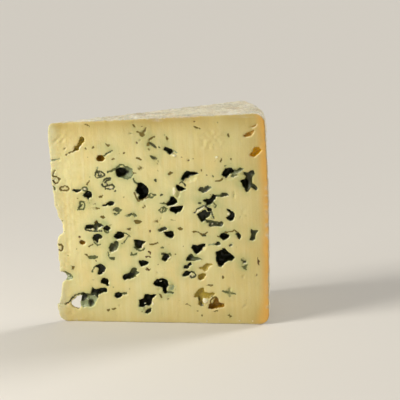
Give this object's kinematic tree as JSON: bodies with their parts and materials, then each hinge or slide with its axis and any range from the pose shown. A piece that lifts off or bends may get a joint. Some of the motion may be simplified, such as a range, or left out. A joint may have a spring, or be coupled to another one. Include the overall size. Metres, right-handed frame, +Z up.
{
  "type": "wedge of bleu d'auvergne cheese",
  "caption": "Tall thin wedge of blue cheese cut from a round wheel, with open mould cavities in its cut faces and rind on its rim, top and base.",
  "frame": {"origin": "middle of the bounding box of the wedge, on the plane that it rests on", "axes": "+X from the sharp inner edge to the rind, +Y from the front cut face to the back one, +Z up"},
  "size_m": [0.1002, 0.05, 0.0968],
  "materials": {
    "cheese": "moist and satin on the cut faces, with blue-green mould, dull and chalky on the rind"
  },
  "bodies": {
    "root": {"cheese": "cheese"}
  },
  "joints": []
}
